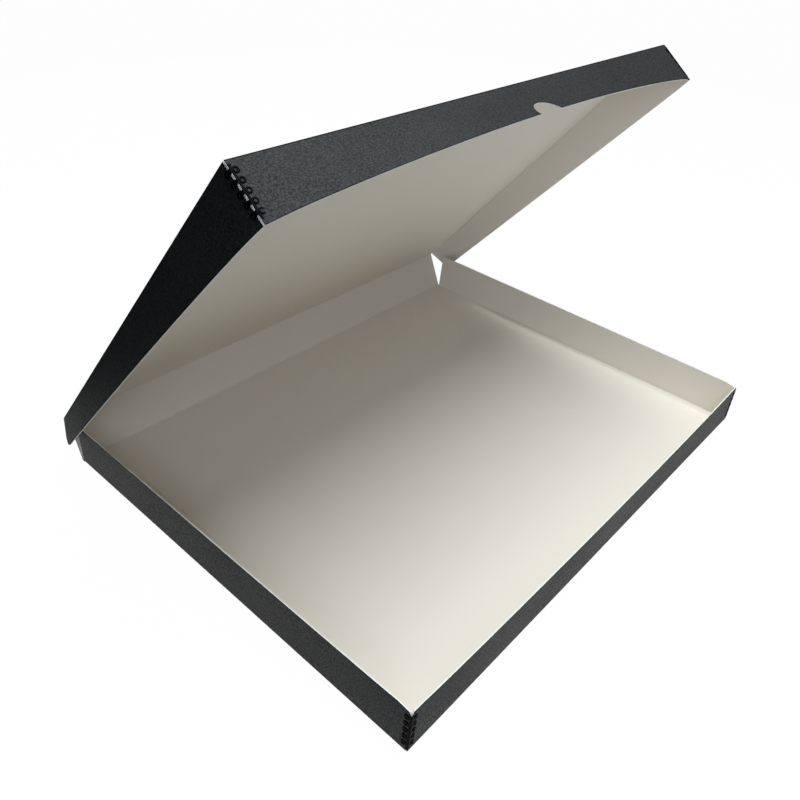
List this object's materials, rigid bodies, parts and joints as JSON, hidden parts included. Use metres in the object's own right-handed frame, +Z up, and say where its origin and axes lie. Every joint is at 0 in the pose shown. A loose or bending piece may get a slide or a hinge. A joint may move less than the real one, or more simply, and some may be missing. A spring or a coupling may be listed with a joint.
{
  "type": "clamshell archival box",
  "caption": "Shallow clamshell archival box of lined board: a base tray and a tray lid on a folding spine, with metal stays at the corners and a thumb notch, for storing flat prints.",
  "frame": {"origin": "centre of the base's underside, on the surface that the box rests on", "axes": "+X along the spine, -Y towards the front of the box, +Z up"},
  "size_m": [0.6502, 0.4895, 0.4184],
  "materials": {
    "lined_board": "matt, charcoal outside and cream inside",
    "stay_metal": "black lacquer"
  },
  "bodies": {
    "base": {"base_tray": "lined_board", "base_stay_left": "stay_metal", "base_stay_right": "stay_metal"},
    "spine": {"spine_panel": "lined_board"},
    "lid": {"lid_tray": "lined_board", "lid_stay_left": "stay_metal", "lid_stay_right": "stay_metal"}
  },
  "joints": [
    {"name": "spine_fold", "type": "hinge", "parent": "base", "child": "spine", "pos_m": [0, 0.23275, 0.00075], "axis": [-1, 0, 0], "range_deg": [-25, 65]},
    {"name": "lid_fold", "type": "hinge", "parent": "spine", "child": "lid", "pos_m": [0, 0.25451, 0.04743], "axis": [-1, 0, 0], "range_deg": [-27, 63]}
  ]
}
